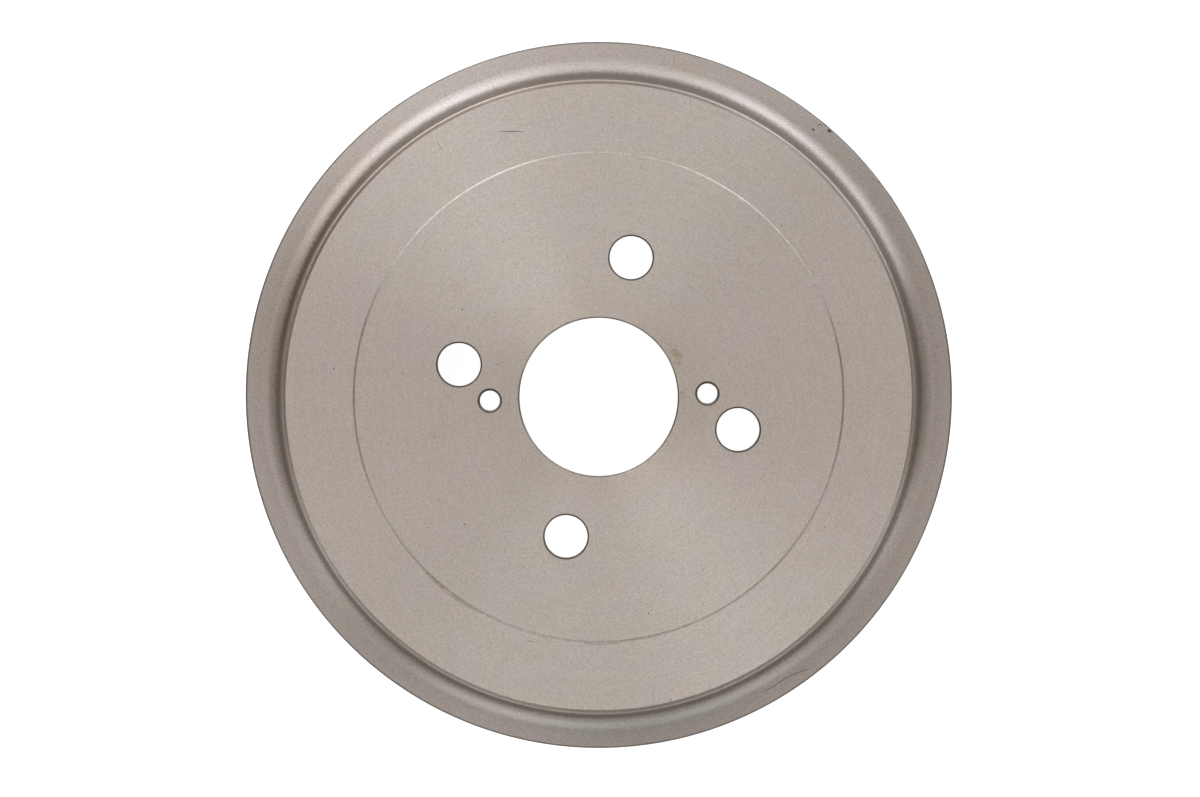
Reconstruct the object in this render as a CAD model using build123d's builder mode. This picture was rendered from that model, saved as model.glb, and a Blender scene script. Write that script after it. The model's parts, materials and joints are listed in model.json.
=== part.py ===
from build123d import *
import os
from math import radians, tan

# Rear brake drum of a small car: one grey-iron casting, turned and drilled.
# Millimetres. The drum stands on its open rim on the XY plane, with the axle along Z and the wheel face up.

# Friction track and wall
friction_diameter = 200.0
wall_thickness = 11.5
overall_height = 57.0       # open rim to wheel seat
lead_in = 1.5               # chamfer that lets the shoes into the track
relief_depth = 0.8          # run-out groove at the closed end of the track
relief_width = 1.6          # straight part of that groove
inner_bevel = 4.0           # bevel between the wall and the web, inside

# Web, between the wheel and the hub
web_thickness = 6.0         # cast thickness beyond both seats
wheel_seat_step = 0.35      # height of the raised wheel seat over the shoulder around it
wheel_seat_slope = 0.7      # radial run of the sloped edge of that seat
shoulder_width = 23.5       # flat ring between the wheel seat and the corner
hub_pad_height = 1.0        # turned hub seat, proud of the cast web inside
hub_pad_margin = 20.0       # hub seat beyond the stud circle

# Corner between the wheel face and the wall, turned in two steps
corner_run = 1.1
corner_drop = 1.2
corner_land = 0.4
corner_land_slope = 26.0    # degrees that the land between the two steps falls outwards
corner_bevel = 0.7

# Flange round the open end
flange_width = 13.5         # how far it stands out from the wall
flange_thickness = 11.0     # at its outer edge
flange_slope = 3.0          # degrees that its front falls towards the edge
flange_fillet = 8.0
edge_break = 0.6

# Labyrinth groove in the open rim, which the backing plate's lip runs in
rim_step = 2.0              # the friction wall stops short of the outer lip
lip_width = 6.0
groove_width = 7.0
groove_depth = 7.0
groove_bevel = 1.0

# Holes
bore_diameter = 55.3
bore_edge = 0.5
stud_circle = 100.0
stud_count = 4
stud_hole_diameter = 15.0
stud_edge = 0.55
stud_angle = 15.0           # degrees from a jacking hole back to the nearest stud hole
jack_circle = 76.0
jack_count = 2
jack_minor_diameter = 7.0   # M8 x 1 thread, drawn at its tapping size
jack_countersink = 8.6

# Radii of the section
bore_radius = bore_diameter / 2
track_radius = friction_diameter / 2
relief_radius = track_radius + relief_depth
wall_radius = track_radius + wall_thickness
flange_radius = wall_radius + flange_width
lip_radius = flange_radius - lip_width
groove_inner_radius = lip_radius - groove_width
land_radius = wall_radius - corner_bevel - corner_land
face_radius = land_radius - corner_run
seat_foot_radius = face_radius - shoulder_width
seat_radius = seat_foot_radius - wheel_seat_slope
pad_radius = stud_circle / 2 + hub_pad_margin

# Heights of the section
face_height = overall_height - wheel_seat_step
land_height = face_height - corner_drop
wall_top_height = land_height - (corner_land + corner_bevel) * tan(radians(corner_land_slope))
web_height = face_height - web_thickness
pad_height = web_height - hub_pad_height
relief_height = web_height - inner_bevel - relief_width
track_height = relief_height - relief_depth
flange_root_height = flange_thickness + flange_width * tan(radians(flange_slope))

os.makedirs("parts", exist_ok=True)


def corner(radius, height):
    """The corner of the section that lies at this radius and height."""
    return section.vertices().sort_by_distance((radius, height))[0]


with BuildPart() as brake_drum:
    # Half section, from the hub pad out to the rim, up the outside and back over the wheel face
    with BuildSketch(Plane.XZ) as section:
        with BuildLine():
            Polyline(
                (bore_radius, pad_height),
                (pad_radius, pad_height),
                (pad_radius + hub_pad_height, web_height),
                (relief_radius, web_height),
                (relief_radius, relief_height),
                (track_radius, track_height),
                (track_radius, rim_step),
                (groove_inner_radius, rim_step),
                (groove_inner_radius, groove_depth),
                (lip_radius, groove_depth),
                (lip_radius, 0),
                (flange_radius, 0),
                (flange_radius, flange_thickness),
                (wall_radius, flange_root_height),
                (wall_radius, wall_top_height),
                (land_radius, land_height),
                (face_radius, face_height),
                (seat_foot_radius, face_height),
                (seat_radius, overall_height),
                (bore_radius, overall_height),
                close=True,
            )
        make_face()
        fillet(corner(wall_radius, flange_root_height), flange_fillet)
        chamfer(corner(wall_radius, wall_top_height), corner_bevel)
        chamfer(corner(relief_radius, web_height), inner_bevel)
        for radius in (groove_inner_radius, lip_radius):
            chamfer(corner(radius, groove_depth), groove_bevel)
        chamfer(corner(track_radius, rim_step), lead_in)
        chamfer(corner(groove_inner_radius, rim_step), edge_break)
        chamfer(corner(lip_radius, 0), edge_break)
        for height in (0, flange_thickness):
            chamfer(corner(flange_radius, height), edge_break)
        for height in (pad_height, overall_height):
            chamfer(corner(bore_radius, height), bore_edge)
    revolve(axis=Axis.Z)

    # Clearance holes for the wheel studs, with both ends broken
    with PolarLocations(stud_circle / 2, stud_count, start_angle=-stud_angle):
        Hole(stud_hole_diameter / 2)
    chamfer(edges(Select.LAST).filter_by(GeomType.CIRCLE), stud_edge)

    # Tapped holes for the bolts that jack the drum off its hub, countersunk at both ends
    with PolarLocations(jack_circle / 2, jack_count):
        Hole(jack_minor_diameter / 2)
    chamfer(edges(Select.LAST).filter_by(GeomType.CIRCLE), (jack_countersink - jack_minor_diameter) / 2)

brake_drum.part.label = "brake_drum"
export_step(brake_drum.part, "parts/brake_drum.step")
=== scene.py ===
import json
from cmath import phase, rect
from math import cos, pi, radians, sin, tan

import bmesh
import bpy
import numpy as np
from mathutils import Matrix, Vector, noise


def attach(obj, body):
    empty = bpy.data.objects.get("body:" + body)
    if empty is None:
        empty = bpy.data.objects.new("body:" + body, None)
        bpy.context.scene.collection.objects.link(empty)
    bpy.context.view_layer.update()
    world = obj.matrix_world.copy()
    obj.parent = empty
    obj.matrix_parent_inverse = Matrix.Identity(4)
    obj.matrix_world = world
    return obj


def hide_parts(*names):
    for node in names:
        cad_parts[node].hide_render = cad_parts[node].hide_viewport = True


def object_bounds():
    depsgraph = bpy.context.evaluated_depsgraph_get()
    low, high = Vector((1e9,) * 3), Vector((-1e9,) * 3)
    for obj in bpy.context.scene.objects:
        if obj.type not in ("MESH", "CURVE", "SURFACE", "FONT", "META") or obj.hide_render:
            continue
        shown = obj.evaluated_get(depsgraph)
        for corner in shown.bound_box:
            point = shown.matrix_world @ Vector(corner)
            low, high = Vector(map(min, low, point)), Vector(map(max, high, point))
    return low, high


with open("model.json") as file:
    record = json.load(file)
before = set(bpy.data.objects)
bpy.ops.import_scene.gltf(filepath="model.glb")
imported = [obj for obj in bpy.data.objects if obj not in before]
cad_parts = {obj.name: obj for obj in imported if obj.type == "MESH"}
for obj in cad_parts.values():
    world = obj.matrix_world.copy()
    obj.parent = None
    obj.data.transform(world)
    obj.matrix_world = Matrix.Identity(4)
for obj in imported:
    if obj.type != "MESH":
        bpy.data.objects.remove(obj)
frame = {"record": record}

# A grey-iron brake drum that stands on its open rim, seen from above on its wheel face.
# Sizes are in millimetres until points are made. Angles are in degrees, counted from +X, which goes
# through a jacking hole.
MM = 0.001

cad_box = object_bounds()
mounts = {mount["name"]: mount for mount in frame["record"]["mounts"]}

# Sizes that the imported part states
bore_radius = mounts["hub_bore"]["dims"]["r_mm"]
track_radius = mounts["friction_track"]["dims"]["r_mm"]
stud_radius = mounts["stud_holes"]["dims"]["hole_r_mm"]
stud_circle_radius = mounts["stud_holes"]["dims"]["pcd_mm"] / 2
stud_count = mounts["stud_holes"]["dims"]["count"]
jack_minor_radius = mounts["jack_hole_a"]["dims"]["r_mm"]
jack_places = [mounts[name]["pos_m"][:2] for name in ("jack_hole_a", "jack_hole_b")]
pad_height = mounts["hub_seat"]["pos_m"][2] / MM
overall_height = mounts["wheel_seat"]["pos_m"][2] / MM
flange_radius = round(cad_box[1].x / MM, 2)

# Wheel face and the corner outside it
seat_step = 0.35
seat_slope = 0.7
shoulder_width = 23.5
corner_run = 1.1
corner_drop = 1.2
corner_land = 0.4
corner_land_slope = 26.0
corner_bevel = 0.7

# Wall, flange and rim
flange_width = 13.5
flange_thickness = 11.0
flange_slope = 3.0
flange_fillet = 8.0
edge_break = 0.6
rim_step = 2.0
lip_width = 6.0
groove_width = 7.0
groove_depth = 7.0
groove_bevel = 1.0
lead_in = 1.5

# Inside
pad_step = 1.0
pad_margin = 20.0
relief_depth = 0.8
relief_width = 1.6
inner_bevel = 4.0

# Holes
bore_edge = 0.5
stud_edge = 0.55
stud_angle = 15.0           # from a jacking hole back to the stud hole beside it
thread_pitch = 1.0
thread_major_radius = 4.0
thread_major_flat = 1 / 8   # shares of the pitch
thread_minor_flat = 1 / 4
jack_sink_radius = 4.3

# Dark chips and pits: radius and angle of each, then its size round the drum, across it and its depth
pits = [
    (120.7, 49.2, 1.1, 0.7, 0.3),
    (124.0, 47.0, 2.0, 1.0, 0.4),
    (124.9, 48.4, 4.2, 0.6, 0.3),
    (124.5, 35.4, 0.7, 0.6, 0.25),
    (123.5, 36.4, 0.5, 0.4, 0.15),
    (124.9, 31.5, 5.7, 0.8, 0.4),
    (93.0, 172.0, 0.6, 0.5, 0.15),
    (56.5, 145.3, 0.6, 0.5, 0.15),
    (64.5, -138.3, 0.5, 0.5, 0.15),
    (87.4, 41.2, 0.5, 0.5, 0.15),
    (92.7, 29.1, 0.5, 0.4, 0.15),
    (77.5, -78.9, 0.5, 0.6, 0.15),
    (91.2, -31.8, 0.5, 0.4, 0.15),
]
pit_unevenness = 0.5        # share of a pit's own radius
pit_bulges = 1.6            # along that radius

# Scratches: width, and the radius and angle of the points along each
dark_scratches = [
    (0.25, [(98.8, 108.4), (97.5, 106.2), (96.3, 103.9)]),
    (0.25, [(108.1, -78.4), (109.1, -78.4)]),
    (0.28, [(122.7, 49.2), (123.8, 48.85), (123.9, 48.4)]),
]
brown_scratches = [
    (0.32, [(120.1, -62.8), (120.3, -61.2), (120.2, -60.0), (120.0, -58.7), (120.2, -57.6), (121.2, -55.6),
            (122.1, -54.4)]),
    (0.18, [(86.2, -136.6), (86.5, -128.1), (86.3, -123.4)]),
    (0.15, [(86.2, -122.6), (86.0, -120.2)]),
    (0.15, [(86.3, -95.2), (86.4, -91.0), (86.2, -86.8)]),
    (0.2, [(105.8, 120.45), (101.8, 120.4)]),
    (0.3, [(88.6, -108.2), (88.4, -106.6)]),
    (0.35, [(120.3, -151.6), (121.3, -152.0)]),
    (0.4, [(108.6, -164.4), (109.2, -164.2)]),
]
scratch_end = 0.06          # share of the taper left off at each end, so that no end is a point
scratch_taper = 0.4         # the smaller, the longer a scratch keeps its full width

# Rust-brown stains: radius and angle of each, its half sizes across the drum and round it, and its strength
stains = [
    (30.9, 27.0, 1.9, 3.8, 0.65),
    (29.6, 0.1, 1.0, 2.0, 0.4),
    (121.3, -55.8, 1.4, 4.5, 0.12),
    (61.9, 140.8, 3.0, 3.0, 0.12),
    (57.7, -168.8, 5.0, 4.0, 0.14),
    (45.6, 142.6, 4.0, 4.0, 0.08),
    (40.4, -172.9, 3.0, 3.0, 0.08),
]
stain_depth = 4.0           # half size downwards, so that the inside stays clean
rust_tinge = (30.0, 48.0)   # radii between which the tinge round the bore fades
edge_fade = 0.1             # half the width over which a tint begins at an edge

# Stretches round the drum where the iron's colour differs, or where painted shade or a painted highlight
# lies: middle, half the width, and the soft part at each end
green_fillet = (-85.0, 8.0, 25.0)
brown_fillet = (152.0, 10.0, 25.0)
long_residue = (-130.0, 6.5, 2.0)
short_residue = (-91.0, 4.0, 1.5)
# painted shade: the slope outside the wheel face is darker in this stretch
shaded_slope_stretch = (132.0, 17.0, 13.0)
# painted highlight: the land below the slope outside the wheel face is lighter in this stretch
lit_land_stretch = (128.0, 38.0, 12.0)
brown_corner = (125.0, 25.0, 35.0)
# painted shade: the foot of the wall is darkest in this stretch
foot_shade_stretch = (153.0, 6.0, 20.0)
# painted shade: the slope outside the wheel face goes from lighter to darker between these y
slope_darkens = (-40.0, 55.0)               # y between which the slope outside the wheel face gets darker

# Colours of the turned iron, of what lies on it, and of the painted shade at its edges and corners
warm_iron = (0.56, 0.497, 0.440, 1)
cool_iron = (0.56, 0.498, 0.457, 1)
mauve_iron = (0.56, 0.492, 0.478, 1)
green_iron = (0.535, 0.496, 0.458, 1)
brown_iron = (0.575, 0.494, 0.428, 1)
rust = (0.39, 0.30, 0.18, 1)
dried_residue = (0.37, 0.31, 0.225, 1)
edge_grime = (0.20, 0.15, 0.11, 1)
# painted shade on the flange's outer edge
flange_edge_shade = (0.16, 0.21, 0.17, 1)
# painted shade at the foot of the wall
foot_shade_colour = (0.12, 0.10, 0.08, 1)
no_tint = (1, 1, 1, 1)
brown_tint = (1.04, 0.98, 0.94, 1)

# Darkest and lightest colour of the other surfaces
drilled_colours = (0.22, 0.194, 0.172, 1), (0.32, 0.283, 0.254, 1)
cast_colours = (0.11, 0.10, 0.093, 1), (0.21, 0.195, 0.182, 1)
chipped_colours = (0.08, 0.067, 0.056, 1), (0.17, 0.145, 0.12, 1)
rusty_colours = (0.27, 0.21, 0.15, 1), (0.40, 0.315, 0.23, 1)
cast_rust = (0.17, 0.12, 0.08, 1)

# Mesh
turn_steps = 640            # faces round the drum
fillet_steps = 28           # faces across the flange's fillet
edge_round = 0.12           # wear of every turned edge
hole_steps = 96             # faces round a stud hole
thread_steps = 64           # faces round a jacking hole
pitch_steps = 16            # rows of faces in one pitch
scratch_steps = 24          # faces along a scratch
cut_margin = 1.0            # how far a cutter reaches past the iron
weld_distance = 0.0001      # points nearer to each other than this become one
place_margin = 0.1          # allowed where a face's place is compared with a size
sharp_angle = 35.0          # edges that turn by more stay sharp

# Lamps: azimuth, tilt from straight above, width in metres, watts
lamp_distance = 4.0         # metres
overhead_lamps = {
    "over_top": (95, 22, 2.0, 12.5),
    "over_left": (195, 22, 2.0, 12.5),
    "over_right": (345, 22, 2.0, 10.0),
}
side_lamps = {
    "key": (133, 44, 2.0, 28.0),
    "key_low": (110, 55, 1.7, 24.5),
    "top": (82, 55, 1.4, 11.0),
    "right": (57, 54, 1.6, 26.5),
    "right_low": (31, 59, 1.6, 18.0),
    "low_left": (253, 41, 1.8, 15.5),
    "low_right": (294, 43, 1.8, 12.0),
    "side_left": (211, 62, 1.6, 8.0),
    "side_right": (330, 66, 1.6, 8.5),
}
overhead_tint = (0.98, 1.0, 1.03)
side_tint = (0.93, 1.0, 1.075)
room_light = (0.21, 0.18, 0.147, 1)         # from the room all round
bounce_light = (0.27, 0.258, 0.246, 1)      # from the pale sheet below
bounce_start = -0.2                         # z of the directions below which all light is the sheet's
floor_half = 8.0                            # half the sheet's side, in metres

# Places in the section that follow from these sizes
wall_radius = flange_radius - flange_width
land_radius = wall_radius - corner_bevel - corner_land
face_radius = land_radius - corner_run
seat_foot_radius = face_radius - shoulder_width
seat_radius = seat_foot_radius - seat_slope
face_height = overall_height - seat_step
land_height = face_height - corner_drop
wall_top_height = land_height - (corner_land + corner_bevel) * tan(radians(corner_land_slope))
lip_radius = flange_radius - lip_width
groove_radius = lip_radius - groove_width
flange_root = complex(wall_radius, flange_thickness + flange_width * tan(radians(flange_slope)))
fillet_start = wall_radius + 0.5
fillet_middle = wall_radius + 4.5
pad_radius = stud_circle_radius + pad_margin
web_height = pad_height + pad_step
relief_radius = track_radius + relief_depth
relief_height = web_height - inner_bevel - relief_width
track_height = relief_height - relief_depth


def unit(vector):
    """A plane vector, given as a complex number, at length 1."""
    return vector / abs(vector)


def rounded(before, corner, after, radius, steps):
    """Points of the arc that rounds a corner and is tangent to both its sides."""
    back = unit(before - corner)
    ahead = unit(after - corner)
    half = abs(phase(ahead / back)) / 2
    centre = corner + unit(back + ahead) * radius / sin(half)
    start = corner + back * radius / tan(half) - centre
    end = corner + ahead * radius / tan(half) - centre
    turn = phase(end / start)
    return [centre + start * rect(1, turn * step / steps) for step in range(steps + 1)]


def neighbours(points):
    """Each point of a closed outline with the ones before and after it."""
    return zip(points[-1:] + points[:-1], points, points[1:] + points[:1])


def half_section():
    """Closed outline of the drum's section, as radius + height j, with every edge slightly worn."""
    corners = {
        complex(bore_radius, pad_height): bore_edge,
        complex(pad_radius, pad_height): 0,
        complex(pad_radius + pad_step, web_height): 0,
        complex(relief_radius, web_height): inner_bevel,
        complex(relief_radius, relief_height): 0,
        complex(track_radius, track_height): 0,
        complex(track_radius, rim_step): lead_in,
        complex(groove_radius, rim_step): edge_break,
        complex(groove_radius, groove_depth): groove_bevel,
        complex(lip_radius, groove_depth): groove_bevel,
        complex(lip_radius, 0): edge_break,
        complex(flange_radius, 0): edge_break,
        complex(flange_radius, flange_thickness): edge_break,
        flange_root: 0,
        complex(wall_radius, wall_top_height): corner_bevel,
        complex(land_radius, land_height): 0,
        complex(face_radius, face_height): 0,
        complex(seat_foot_radius, face_height): 0,
        complex(seat_radius, overall_height): 0,
        complex(bore_radius, overall_height): bore_edge,
    }
    bevelled = []
    for before, corner, after in neighbours(list(corners)):
        size = corners[corner]
        sides = [corner + unit(end - corner) * size for end in (before, after)]
        bevelled += sides if size else [corner]
    outline = []
    for before, corner, after in neighbours(bevelled):
        if corner == flange_root:
            outline += rounded(before, corner, after, flange_fillet, fillet_steps)
        else:
            outline += rounded(before, corner, after, edge_round, 1)
    return outline


def surface_height(radius):
    """Height of the upper side at a radius on the flange or on the wheel face."""
    if radius > flange_radius - edge_break:
        return flange_thickness - edge_break + flange_radius - radius
    if radius > wall_radius:
        return flange_thickness + (flange_radius - radius) * tan(radians(flange_slope))
    return face_height if radius > seat_foot_radius else overall_height


def ring_mesh(name, rings, closed):
    """Mesh through rings of points: a ring solid where closed, or else a plug with a cap on each end."""
    count, around = rings.shape[:2]
    index = np.arange(count * around).reshape(count, around)
    rows = np.vstack([index, index[:1]]) if closed else index
    ahead = np.roll(rows, -1, axis=1)
    quads = np.stack([rows[:-1], ahead[:-1], ahead[1:], rows[1:]], axis=-1).reshape(-1, 4)
    caps = [] if closed else [index[0, ::-1].tolist(), index[-1].tolist()]
    mesh = bpy.data.meshes.new(name)
    mesh.from_pydata((rings.reshape(-1, 3) * MM).tolist(), [], quads.tolist() + caps)
    shape = bmesh.new()
    shape.from_mesh(mesh)
    bmesh.ops.recalc_face_normals(shape, faces=shape.faces)
    shape.to_mesh(mesh)
    shape.free()
    return mesh


def turned(name, outline, steps, closed, centre=(0, 0)):
    """Mesh of an outline turned about a vertical axis."""
    angles = np.arange(steps) * 2 * pi / steps
    radii = np.array([point.real for point in outline])[:, None]
    heights = np.array([point.imag for point in outline])[:, None]
    x = centre[0] + radii * np.cos(angles)
    y = centre[1] + radii * np.sin(angles)
    return ring_mesh(name, np.stack([x, y, heights + 0 * x], axis=-1), closed)


def stud_cutter(angle):
    """Plug for one stud hole, with its bevels at both ends."""
    reach = stud_radius + stud_edge + cut_margin
    outline = [
        complex(reach, pad_height - cut_margin),
        complex(stud_radius, pad_height + stud_edge),
        complex(stud_radius, overall_height - stud_edge),
        complex(reach, overall_height + cut_margin),
    ]
    centre = rect(stud_circle_radius, radians(angle))
    return turned("stud_cutter", outline, hole_steps, False, (centre.real, centre.imag))


def jack_cutter(place):
    """Plug for one jacking hole: a right-hand thread, countersunk at both ends."""
    low = pad_height - cut_margin
    high = overall_height + cut_margin
    rows = round((high - low) / thread_pitch * pitch_steps)
    heights = np.linspace(low, high, rows)[:, None]
    angles = (np.arange(thread_steps) * 2 * pi / thread_steps)[None, :]
    # 0 at the middle of the groove and 1 at the middle of the ridge, with straight flanks between the flats
    spread = np.abs((heights / thread_pitch - angles / (2 * pi)) % 1 - 0.5) * 2
    flank = np.clip((spread - thread_major_flat) / (1 - thread_minor_flat - thread_major_flat), 0, 1)
    thread = thread_major_radius + (jack_minor_radius - thread_major_radius) * flank
    top_sink = jack_sink_radius + heights - overall_height
    low_sink = jack_sink_radius + pad_height - heights
    radii = np.maximum(thread, np.maximum(top_sink, low_sink))
    x = place[0] / MM + radii * np.cos(angles)
    y = place[1] / MM + radii * np.sin(angles)
    return ring_mesh("jack_cutter", np.stack([x, y, heights + 0 * x], axis=-1), False)


def pit_cutter(radius, angle, long, wide, deep):
    """Lump for one chip or pit."""
    shape = bmesh.new()
    bmesh.ops.create_icosphere(shape, subdivisions=3, radius=1)
    for vertex in shape.verts:
        bulge = noise.noise(vertex.co * pit_bulges + Vector((radius, angle, 0)))
        vertex.co *= 1 + pit_unevenness * bulge
    lump = Matrix.Diagonal((wide / 2, long / 2, deep, 1))
    seat = Matrix.Translation((radius, 0, surface_height(radius)))
    turn = Matrix.Rotation(radians(angle), 4, "Z")
    shape.transform(Matrix.Scale(MM, 4) @ turn @ seat @ lump)
    mesh = bpy.data.meshes.new("pit_cutter")
    shape.to_mesh(mesh)
    shape.free()
    return mesh


def scratch_cutter(width, track):
    """Four-sided bar for one scratch, as deep as half its width, which fades out at both ends."""
    radii, angles = np.array(track).T
    knots = radii * np.exp(1j * np.radians(angles))
    along = np.append(0, np.cumsum(np.abs(np.diff(knots))))
    stops = np.linspace(0, along[-1], scratch_steps)
    points = np.interp(stops, along, radii) * np.exp(1j * np.radians(np.interp(stops, along, angles)))
    ways = np.gradient(points)
    fade = np.sin(np.linspace(scratch_end, 1 - scratch_end, scratch_steps) * pi) ** scratch_taper
    half = width / 2 * fade
    sides = 1j * ways / np.abs(ways) * half
    heights = np.array([surface_height(radius) for radius in np.abs(points)])
    left, right = points + sides, points - sides
    edges = [(left, heights), (points, heights - half), (right, heights), (points, heights + half)]
    bar = np.stack([np.stack([edge.real, edge.imag, height], axis=-1) for edge, height in edges], axis=1)
    return ring_mesh("scratch_cutter", bar, False)


def joined(meshes):
    """One mesh of several that don't touch."""
    shape = bmesh.new()
    for mesh in meshes:
        shape.from_mesh(mesh)
    whole = bpy.data.meshes.new("cutters")
    shape.to_mesh(whole)
    shape.free()
    return whole


def cut(piece, cutter_mesh, material):
    """Takes a cutter out of a piece; the cut faces get the cutter's material."""
    cutter = bpy.data.objects.new("cutter", cutter_mesh)
    cutter_mesh.materials.append(material)
    bpy.context.scene.collection.objects.link(cutter)
    modifier = piece.modifiers.new("cut", "BOOLEAN")
    modifier.object = cutter
    modifier.operation = "DIFFERENCE"
    modifier.solver = "EXACT"
    modifier.material_mode = "TRANSFER"
    result = bpy.data.meshes.new_from_object(piece.evaluated_get(bpy.context.evaluated_depsgraph_get()))
    piece.modifiers.clear()
    piece.data = result
    bpy.data.objects.remove(cutter)


def weld(mesh):
    """Splits the many-sided faces that cuts leave, and merges points that lie on top of each other."""
    shape = bmesh.new()
    shape.from_mesh(mesh)
    bmesh.ops.triangulate(shape, faces=[face for face in shape.faces if len(face.verts) > 4])
    bmesh.ops.remove_doubles(shape, verts=shape.verts, dist=weld_distance * MM)
    shape.to_mesh(mesh)
    shape.free()


class Graph:
    """Short calls for building the nodes of a material or of the world."""

    def __init__(self, owner):
        owner.use_nodes = True
        self.owner = owner
        self.tree = owner.node_tree

    def feed(self, socket, value):
        """Links a node's output to a socket, or sets the socket to a constant."""
        if isinstance(value, bpy.types.NodeSocket):
            self.tree.links.new(value, socket)
        else:
            socket.default_value = value

    def node(self, kind, inputs=None, **settings):
        made = self.tree.nodes.new("ShaderNode" + kind)
        for key, value in settings.items():
            setattr(made, key, value)
        for key, value in (inputs or {}).items():
            self.feed(made.inputs[key], value)
        return made

    def surface(self, **values):
        """Sets sockets of the shader, with _ for each space in their names."""
        for name, value in values.items():
            self.feed(self.tree.nodes["Principled BSDF"].inputs[name.replace("_", " ")], value)

    def millimetres(self):
        """Place on the object, in millimetres."""
        return self.scaled(self.node("TexCoord").outputs["Object"], 1 / MM)

    def math(self, operation, *values):
        return self.node("Math", dict(enumerate(values)), operation=operation).outputs[0]

    def product(self, first, *others):
        for value in others:
            first = self.math("MULTIPLY", first, value)
        return first

    def vector(self, operation, *values):
        return self.node("VectorMath", dict(enumerate(values)), operation=operation).outputs["Vector"]

    def scaled(self, vector, factor):
        return self.node("VectorMath", {0: vector, "Scale": factor}, operation="SCALE").outputs["Vector"]

    def length(self, vector):
        return self.node("VectorMath", {0: vector}, operation="LENGTH").outputs["Value"]

    def ramp(self, value, start, end, low=0.0, high=1.0):
        """A smooth step from low at start to high at end."""
        inputs = {0: value, 1: start, 2: end, 3: low, 4: high}
        return self.node("MapRange", inputs, interpolation_type="SMOOTHSTEP").outputs[0]

    def between(self, low, high, share):
        """Low where the share is 0, and high where it is 1."""
        return self.ramp(share, 0.0, 1.0, low, high)

    def band(self, value, middle, half, soft):
        """1 within half of the middle, and 0 from half + soft on."""
        away = self.math("ABSOLUTE", self.math("SUBTRACT", value, middle))
        return self.ramp(away, half + soft, half)

    def mix(self, factor, first, second, blend="MIX"):
        inputs = {0: factor, 6: first, 7: second}
        return self.node("Mix", inputs, data_type="RGBA", blend_type=blend).outputs[2]

    def noise(self, vector, scale, detail=2.0, roughness=0.5):
        inputs = {"Vector": vector, "Scale": scale, "Detail": detail, "Roughness": roughness}
        return self.node("TexNoise", inputs).outputs[0]

    def bump(self, height, depth):
        """Shading normal for a relief of so many millimetres."""
        inputs = {"Strength": 1.0, "Distance": depth * MM, "Height": height}
        return self.node("Bump", inputs).outputs[0]


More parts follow.
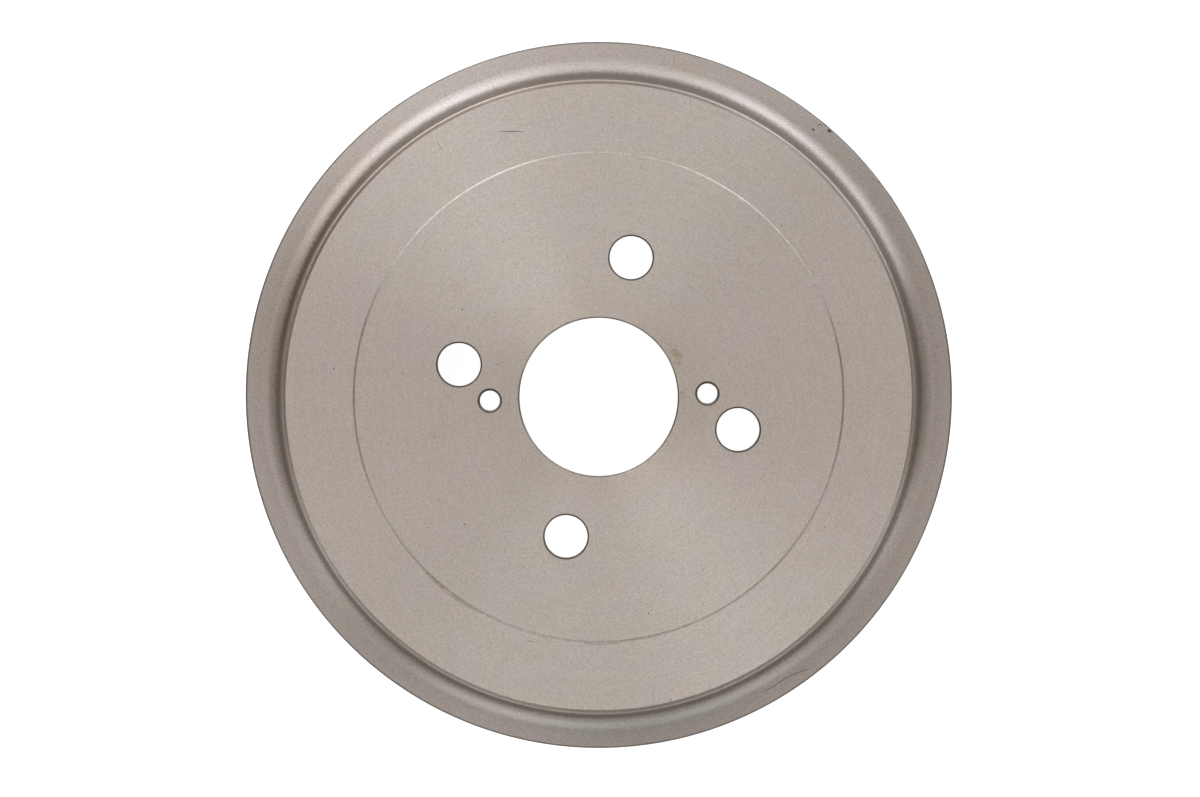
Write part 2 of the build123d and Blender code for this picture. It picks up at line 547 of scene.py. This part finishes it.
class TurnedIron(Graph):
    """Fine-turned grey iron: satin, with grain, turning lines, mottling, stains and grime, and painted shade
    and a painted highlight at its edges and corners.
    """

    def __init__(self):
        super().__init__(bpy.data.materials.new("turned_iron"))
        self.point = self.millimetres()
        x, self.y, self.height = self.node("SeparateXYZ", {0: self.point}).outputs
        flat = self.node("CombineXYZ", {0: x, 1: self.y}).outputs[0]
        self.radius = self.length(flat)
        self.angle = self.math("ARCTAN2", self.y, x)
        self.around = self.vector("NORMALIZE", flat)

        # Lines that the tool left follow the section: across flats by radius, down walls by height
        across = self.math("SUBTRACT", self.radius, self.height)
        swept = self.vector("ADD", self.around, self.node("CombineXYZ", {2: across}).outputs[0])
        self.lines = self.noise(swept, scale=2.6, detail=3.0, roughness=0.6)
        self.grain = self.noise(self.point, scale=1.9, detail=3.0, roughness=0.65)
        self.ragged = self.noise(self.point, scale=0.6, detail=3.0, roughness=0.6)

        colour = self.bare_metal()
        colour = self.stained(colour)
        colour = self.corner_streaks_and_painted_light(colour)
        colour = self.grime_and_painted_shade(colour)
        self.surface(
            Base_Color=colour,
            Roughness=self.ramp(self.grain, 0.2, 0.8, low=0.38, high=0.44),
            Metallic=1.0,
            Anisotropic=0.76,
            Anisotropic_Rotation=0.25,
            Tangent=self.node("Tangent", direction_type="RADIAL", axis="Z").outputs[0],
            Normal=self.bump(self.grain, depth=0.02),
        )

    def sector(self, stretch):
        """1 within a stretch round the drum, and 0 outside it."""
        return self.band(self.angle, *map(radians, stretch))

    def bare_metal(self):
        """Colour of the clean iron: mottled and grained, coarser and duller on the flange."""
        mottle = self.noise(self.point, scale=0.07)
        colour = self.mix(self.ramp(mottle, 0.35, 0.65), warm_iron, cool_iron)
        coarse = self.ramp(self.radius, fillet_start, fillet_middle)
        patches = self.ramp(self.noise(self.point, scale=0.2), 0.35, 0.65, low=0.0, high=0.6)
        colour = self.mix(self.product(coarse, patches), colour, mauve_iron)
        hollow = self.band(self.radius, fillet_middle, half=3.0, soft=4.0)
        colour = self.mix(self.product(hollow, self.sector(green_fillet)), colour, green_iron)
        colour = self.mix(self.product(hollow, self.sector(brown_fillet)), colour, brown_iron)

        dark_grain = self.between(0.84, 0.80, coarse)
        light_grain = self.between(1.16, 1.20, coarse)
        specks = self.ramp(self.noise(self.point, scale=1.15, detail=1.0), 0.31, 0.25)
        shade = self.product(
            self.ramp(self.grain, 0.25, 0.75, dark_grain, light_grain),
            self.ramp(self.lines, 0.25, 0.75, low=0.97, high=1.03),
            self.between(1.0, 0.8, specks),
            self.ramp(self.radius, fillet_middle - 1.0, fillet_middle + 2.0, low=1.0, high=0.93),
        )
        tone = self.node("CombineXYZ", {0: shade, 1: shade, 2: shade}).outputs[0]
        return self.mix(1.0, colour, tone, "MULTIPLY")

    def stained(self, colour):
        """Adds stains, dried residue beside the wheel seat's step, and a tinge of rust round the bore."""
        fringe = self.ramp(self.ragged, 0.3, 0.7, low=-0.5, high=0.5)
        pores = self.ramp(self.grain, 0.35, 0.6, low=1.5, high=0.6)
        for radius, angle, half_across, half_round, strength in stains:
            middle = rect(radius, radians(angle))
            frame_of_stain = {
                "Vector": self.point,
                "Location": (middle.real, middle.imag, surface_height(radius)),
                "Rotation": (0, 0, radians(angle)),
                "Scale": (half_across, half_round, stain_depth),
            }
            # Counted in the stain's own half sizes, with a ragged edge
            spot = self.node("Mapping", frame_of_stain, vector_type="TEXTURE").outputs[0]
            edge = self.math("ADD", self.length(spot), fringe)
            spread = self.product(self.ramp(edge, 1.2, 0.2, low=0.0, high=strength), pores)
            colour = self.mix(spread, colour, rust)

        short_stretch = self.between(0.0, 0.4, self.sector(short_residue))
        residue = self.product(
            self.band(self.radius, seat_foot_radius + 0.3, half=0.3, soft=0.4),
            self.math("ADD", self.sector(long_residue), short_stretch),
            self.ramp(self.ragged, 0.4, 0.6, low=0.1, high=0.5),
        )
        colour = self.mix(residue, colour, dried_residue)
        tinge = self.ramp(self.radius, *rust_tinge, low=0.1, high=0.0)
        return self.mix(tinge, colour, rust)

    def corner_streaks_and_painted_light(self, colour):
        """Adds brown streaks to the slope outside the wheel face, with painted shade that darkens it towards
        +y and round 132°, and dulls the land below it, with a painted highlight round 128°.
        """
        outside_face = self.ramp(self.radius, face_radius - edge_fade, face_radius + edge_fade)
        near_top = self.ramp(self.height, overall_height - 5.0, overall_height - 3.0)
        slope_streaks_and_shade = self.product(
            self.ramp(self.lines, 0.35, 0.65, low=0.75, high=1.2),
            # painted shade: the slope is lighter towards -y, darker towards +y, and darker still round 132°
            self.ramp(self.y, *slope_darkens, low=1.2, high=0.93),
            self.between(1.0, 0.8, self.sector(shaded_slope_stretch)),
        )
        # painted highlight: the land is duller all round, but lighter round 128°
        land = self.between(0.79, 0.88, self.sector(lit_land_stretch))
        streaks_and_painted_light = self.ramp(self.radius, land_radius, land_radius + corner_land / 2, slope_streaks_and_shade, land)
        tint = self.mix(self.sector(brown_corner), no_tint, brown_tint)
        tinted_and_shaded_corner = self.mix(1.0, colour, self.scaled(tint, streaks_and_painted_light), "MULTIPLY")
        return self.mix(self.product(outside_face, near_top), colour, tinted_and_shaded_corner)

    def grime_and_painted_shade(self, colour):
        """Adds grime to the bore's edge and the wheel seat's step, painted shade on the flange's outer edge,
        and painted shade at the foot of the wall.
        """
        bore_rim = bore_radius + bore_edge
        on_bore = self.ramp(self.radius, bore_rim + edge_fade, bore_rim - edge_fade, low=0.0, high=0.36)
        colour = self.mix(on_bore, colour, edge_grime)
        # Painted shade on the bevel of the flange's outer edge
        rim = flange_radius - edge_break
        on_flange = self.ramp(self.radius, rim - edge_fade, rim + edge_fade, low=0.0, high=0.25)
        colour = self.mix(on_flange, colour, flange_edge_shade)
        step = self.product(
            self.band(self.radius, (seat_radius + seat_foot_radius) / 2, half=seat_slope / 2, soft=0.2),
            self.ramp(self.ragged, 0.3, 0.7, low=0.1, high=0.35),
        )
        colour = self.mix(step, colour, edge_grime)
        dashes = self.noise(self.scaled(self.around, wall_radius), scale=1.1)
        wavy_radius = self.math("ADD", self.radius, self.ramp(dashes, 0.3, 0.7, low=-0.25, high=0.25))
        # Painted shade in the corner at the foot of the wall, over the flange's fillet, darkest round 153°
        foot = self.product(
            self.band(self.height, flange_thickness + 5.0, half=3.0, soft=9.0),
            self.band(wavy_radius, fillet_start, half=1.5, soft=1.6),
            self.between(0.41, 0.62, self.sector(foot_shade_stretch)),
            self.ramp(self.grain, 0.3, 0.7, low=1.12, high=0.88),
        )
        return self.mix(foot, colour, foot_shade_colour)


def drilled_iron():
    """Drilled hole walls: duller than the turned faces, with rings that the drill left."""
    graph = Graph(bpy.data.materials.new("drilled_iron"))
    flattened = (0.3, 0.3, 6.0)
    feed_marks = graph.noise(graph.vector("MULTIPLY", graph.millimetres(), flattened), scale=1.0)
    graph.surface(
        Base_Color=graph.mix(feed_marks, *drilled_colours),
        Roughness=graph.ramp(feed_marks, 0.3, 0.7, low=0.38, high=0.5),
        Metallic=1.0,
    )
    return graph.owner


def cast_iron():
    """Skin of the casting where no tool went: dark grey and grainy."""
    graph = Graph(bpy.data.materials.new("cast_skin"))
    point = graph.millimetres()
    sand = graph.noise(point, scale=0.9, detail=4.0, roughness=0.6)
    clouds = graph.noise(point, scale=0.06)
    colour = graph.mix(graph.ramp(sand, 0.3, 0.7), *cast_colours)
    colour = graph.mix(graph.ramp(clouds, 0.45, 0.75, low=0.0, high=0.35), colour, cast_rust)
    graph.surface(Base_Color=colour, Roughness=0.62, Metallic=0.55, Normal=graph.bump(sand, depth=0.25))
    return graph.owner


def rough_iron(name, dark, light):
    """Broken or scratched iron."""
    graph = Graph(bpy.data.materials.new(name))
    grain = graph.noise(graph.millimetres(), scale=3.0, detail=3.0)
    colour = graph.mix(graph.ramp(grain, 0.3, 0.7), dark, light)
    graph.surface(Base_Color=colour, Roughness=0.75, Metallic=0.3)
    return graph.owner


def build_drum():
    """The casting: turned section, holes, threads and marks, in the place of the CAD node."""
    mesh = turned("drum_casting", half_section(), turn_steps, True)
    mesh.materials.append(TurnedIron().owner)
    mesh.materials.append(cast_iron())
    for face in mesh.polygons:
        x, y, z = face.center / MM
        inside = pad_radius + pad_step - place_margin < abs(complex(x, y)) < relief_radius - place_margin
        face.material_index = int(inside and web_height - inner_bevel < z < web_height + place_margin)
    piece = bpy.data.objects.new("drum_casting", mesh)
    bpy.context.scene.collection.objects.link(piece)
    drilled = drilled_iron()
    for hole in range(stud_count):
        cut(piece, stud_cutter(hole * 360 / stud_count - stud_angle), drilled)
    for place in jack_places:
        cut(piece, jack_cutter(place), drilled)
    chipped = [pit_cutter(*pit) for pit in pits] + [scratch_cutter(*scratch) for scratch in dark_scratches]
    cut(piece, joined(chipped), rough_iron("chipped_iron", *chipped_colours))
    rusty = [scratch_cutter(*scratch) for scratch in brown_scratches]
    cut(piece, joined(rusty), rough_iron("rusty_iron", *rusty_colours))
    weld(piece.data)
    piece.data.shade_smooth()
    piece.data.set_sharp_from_angle(angle=radians(sharp_angle))
    piece.modifiers.new("even_normals", "WEIGHTED_NORMAL").keep_sharp = True
    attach(piece, "root")
    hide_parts("brake_drum")


def build_floor():
    """White sheet under the drum, bright by itself like a light table, with a faint shadow."""
    mesh = bpy.data.meshes.new("floor")
    near, far = -floor_half, floor_half
    mesh.from_pydata([(near, near, 0), (far, near, 0), (far, far, 0), (near, far, 0)], [], [(0, 1, 2, 3)])
    floor = bpy.data.objects.new("floor", mesh)
    bpy.context.scene.collection.objects.link(floor)
    graph = Graph(bpy.data.materials.new("white_sheet"))
    graph.surface(
        Base_Color=(0.5, 0.5, 0.5, 1),
        Roughness=1.0,
        Specular_IOR_Level=0.0,
        Emission_Color=(1, 1, 1, 1),
        Emission_Strength=0.95,
    )
    mesh.materials.append(graph.owner)
    floor.visible_glossy = False
    floor.visible_diffuse = False


def softbox(name, tint, azimuth, tilt, size, power):
    """Round lamp that faces the drum; azimuth goes round from +X, tilt is the angle from straight above."""
    lamp = bpy.data.lights.new(name, "AREA")
    lamp.shape = "DISK"
    lamp.size = size
    lamp.energy = power
    lamp.color = tint
    holder = bpy.data.objects.new(name, lamp)
    holder.visible_camera = False
    way = Vector((
        sin(radians(tilt)) * cos(radians(azimuth)),
        sin(radians(tilt)) * sin(radians(azimuth)),
        cos(radians(tilt)),
    ))
    holder.location = way * lamp_distance
    holder.rotation_euler = way.to_track_quat("Z", "Y").to_euler()
    bpy.context.scene.collection.objects.link(holder)


def build_light():
    """Studio light: softboxes all round above the drum, in a dim room over a pale sheet."""
    for name, lamp in overhead_lamps.items():
        softbox(name, overhead_tint, *lamp)
    for name, lamp in side_lamps.items():
        softbox(name, side_tint, *lamp)
    room = Graph(bpy.data.worlds.new("room"))
    way = room.node("TexCoord").outputs["Generated"]
    height = room.node("SeparateXYZ", {0: way}).outputs[2]
    rise = room.node("MapRange", {0: height, 1: bounce_start, 2: 0.0}).outputs[0]
    room.feed(room.tree.nodes["Background"].inputs["Color"], room.mix(rise, bounce_light, room_light))
    bpy.context.scene.world = room.owner


def build_camera():
    """Long lens high above the wheel face, a little off the axle."""
    image_width = 1200
    scale = 2.8655              # pixels per millimetre on the wheel face
    distance = 3300.0           # from the wheel face
    lean_up = 0.9               # degrees off the axle, towards the top of the picture
    lean_right = 0.1
    roll = 1.88                 # how far the drum is turned in the picture
    aim_right = 0.5             # point of the wheel face in the middle of the picture
    aim_up = -0.47
    camera = bpy.data.cameras.new("camera")
    camera.sensor_width = 36
    camera.lens = scale * distance * camera.sensor_width / image_width
    camera.clip_end = 100
    holder = bpy.data.objects.new("camera", camera)
    turn = Matrix.Rotation(radians(-roll), 4, "Z")
    lean = Matrix.Rotation(radians(-lean_up), 4, "X") @ Matrix.Rotation(radians(lean_right), 4, "Y")
    focus = Matrix.Translation(Vector((aim_right, aim_up, overall_height)) * MM)
    holder.matrix_world = turn @ focus @ lean @ Matrix.Translation((0, 0, distance * MM))
    bpy.context.scene.collection.objects.link(holder)
    bpy.context.scene.camera = holder


build_drum()
build_floor()
build_light()
build_camera()
bpy.context.scene.view_settings.view_transform = "Standard"
